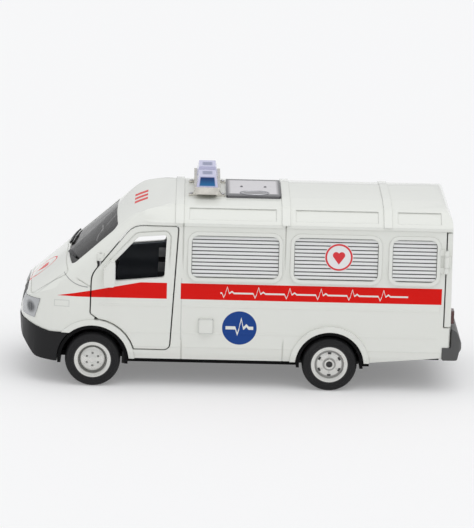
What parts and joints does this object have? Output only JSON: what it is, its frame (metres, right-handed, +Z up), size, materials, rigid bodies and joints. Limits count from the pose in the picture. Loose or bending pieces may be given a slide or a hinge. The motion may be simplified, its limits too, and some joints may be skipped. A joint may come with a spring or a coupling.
{
  "type": "toy ambulance",
  "caption": "Toy ambulance: a white cast van with a roof light bar and hatch, blinds in its side windows, hinged cab and rear doors, and free-rolling wheels.",
  "frame": {"origin": "on the ground under the middle of the van's length and width", "axes": "+X forward, +Y to the van's left, +Z up"},
  "size_m": [0.1284, 0.051, 0.0604],
  "materials": {
    "body_paint": "gloss",
    "black_plastic": "satin",
    "cab_trim": "satin",
    "grey_plastic": "satin",
    "smoked_glass": "gloss",
    "blind_glass": "gloss",
    "clear_lens": "gloss",
    "red_lens": "gloss",
    "blue_lens": "gloss",
    "plated_plastic": "mirror",
    "hatch_plastic": "gloss",
    "steel": "satin",
    "plated_rim": "satin",
    "tyre_rubber": "matt"
  },
  "bodies": {
    "van": {"body_shell": "body_paint", "chassis": "black_plastic", "interior_tub": "cab_trim", "steering_wheel": "black_plastic", "windscreen": "smoked_glass", "left_side_glazing": "blind_glass", "right_side_glazing": "blind_glass", "left_wiper": "black_plastic", "right_wiper": "black_plastic", "left_door_pin": "steel", "right_door_pin": "steel", "left_rear_pin": "steel", "right_rear_pin": "steel", "grille": "black_plastic", "left_headlight": "clear_lens", "right_headlight": "clear_lens", "front_bumper": "black_plastic", "rear_bumper": "grey_plastic", "lightbar_base": "plated_plastic", "left_beacon": "blue_lens", "right_beacon": "blue_lens", "roof_hatch": "hatch_plastic", "motor_case": "black_plastic", "front_screw": "steel", "left_rear_screw": "steel", "right_rear_screw": "steel"},
    "front_wheels": {"front_axle": "steel", "left_front_rim": "plated_rim", "left_front_tyre": "tyre_rubber", "right_front_rim": "plated_rim", "right_front_tyre": "tyre_rubber"},
    "rear_wheels": {"rear_axle": "steel", "left_rear_rim": "plated_rim", "left_rear_tyre": "tyre_rubber", "right_rear_rim": "plated_rim", "right_rear_tyre": "tyre_rubber"},
    "left_front_door_leaf": {"left_front_door": "body_paint", "left_door_card": "cab_trim", "left_mirror": "body_paint"},
    "right_front_door_leaf": {"right_front_door": "body_paint", "right_door_card": "cab_trim", "right_mirror": "body_paint"},
    "left_rear_door_leaf": {"left_rear_door": "body_paint", "left_rear_glass": "smoked_glass", "left_tail_lamp": "red_lens"},
    "right_rear_door_leaf": {"right_rear_door": "body_paint", "right_rear_glass": "smoked_glass", "right_tail_lamp": "red_lens"}
  },
  "joints": [
    {"name": "front_axle_spin", "type": "hinge", "parent": "van", "child": "front_wheels", "pos_m": [0.0425, 0, 0.008], "axis": [0, 1, 0], "continuous": true},
    {"name": "rear_axle_spin", "type": "hinge", "parent": "van", "child": "rear_wheels", "pos_m": [-0.026, 0, 0.008], "axis": [0, 1, 0], "continuous": true},
    {"name": "left_front_door_hinge", "type": "hinge", "parent": "van", "child": "left_front_door_leaf", "pos_m": [0.0406, 0.02124, 0.0287], "axis": [0, 0, -1], "range_deg": [0, 60]},
    {"name": "right_front_door_hinge", "type": "hinge", "parent": "van", "child": "right_front_door_leaf", "pos_m": [0.0406, -0.02124, 0.0287], "axis": [0, 0, 1], "range_deg": [0, 60]},
    {"name": "left_rear_door_hinge", "type": "hinge", "parent": "van", "child": "left_rear_door_leaf", "pos_m": [-0.05859, 0.02295, 0.0397], "axis": [0, 0, -1], "range_deg": [0, 100]},
    {"name": "right_rear_door_hinge", "type": "hinge", "parent": "van", "child": "right_rear_door_leaf", "pos_m": [-0.05859, -0.02295, 0.0397], "axis": [0, 0, 1], "range_deg": [0, 100]}
  ]
}
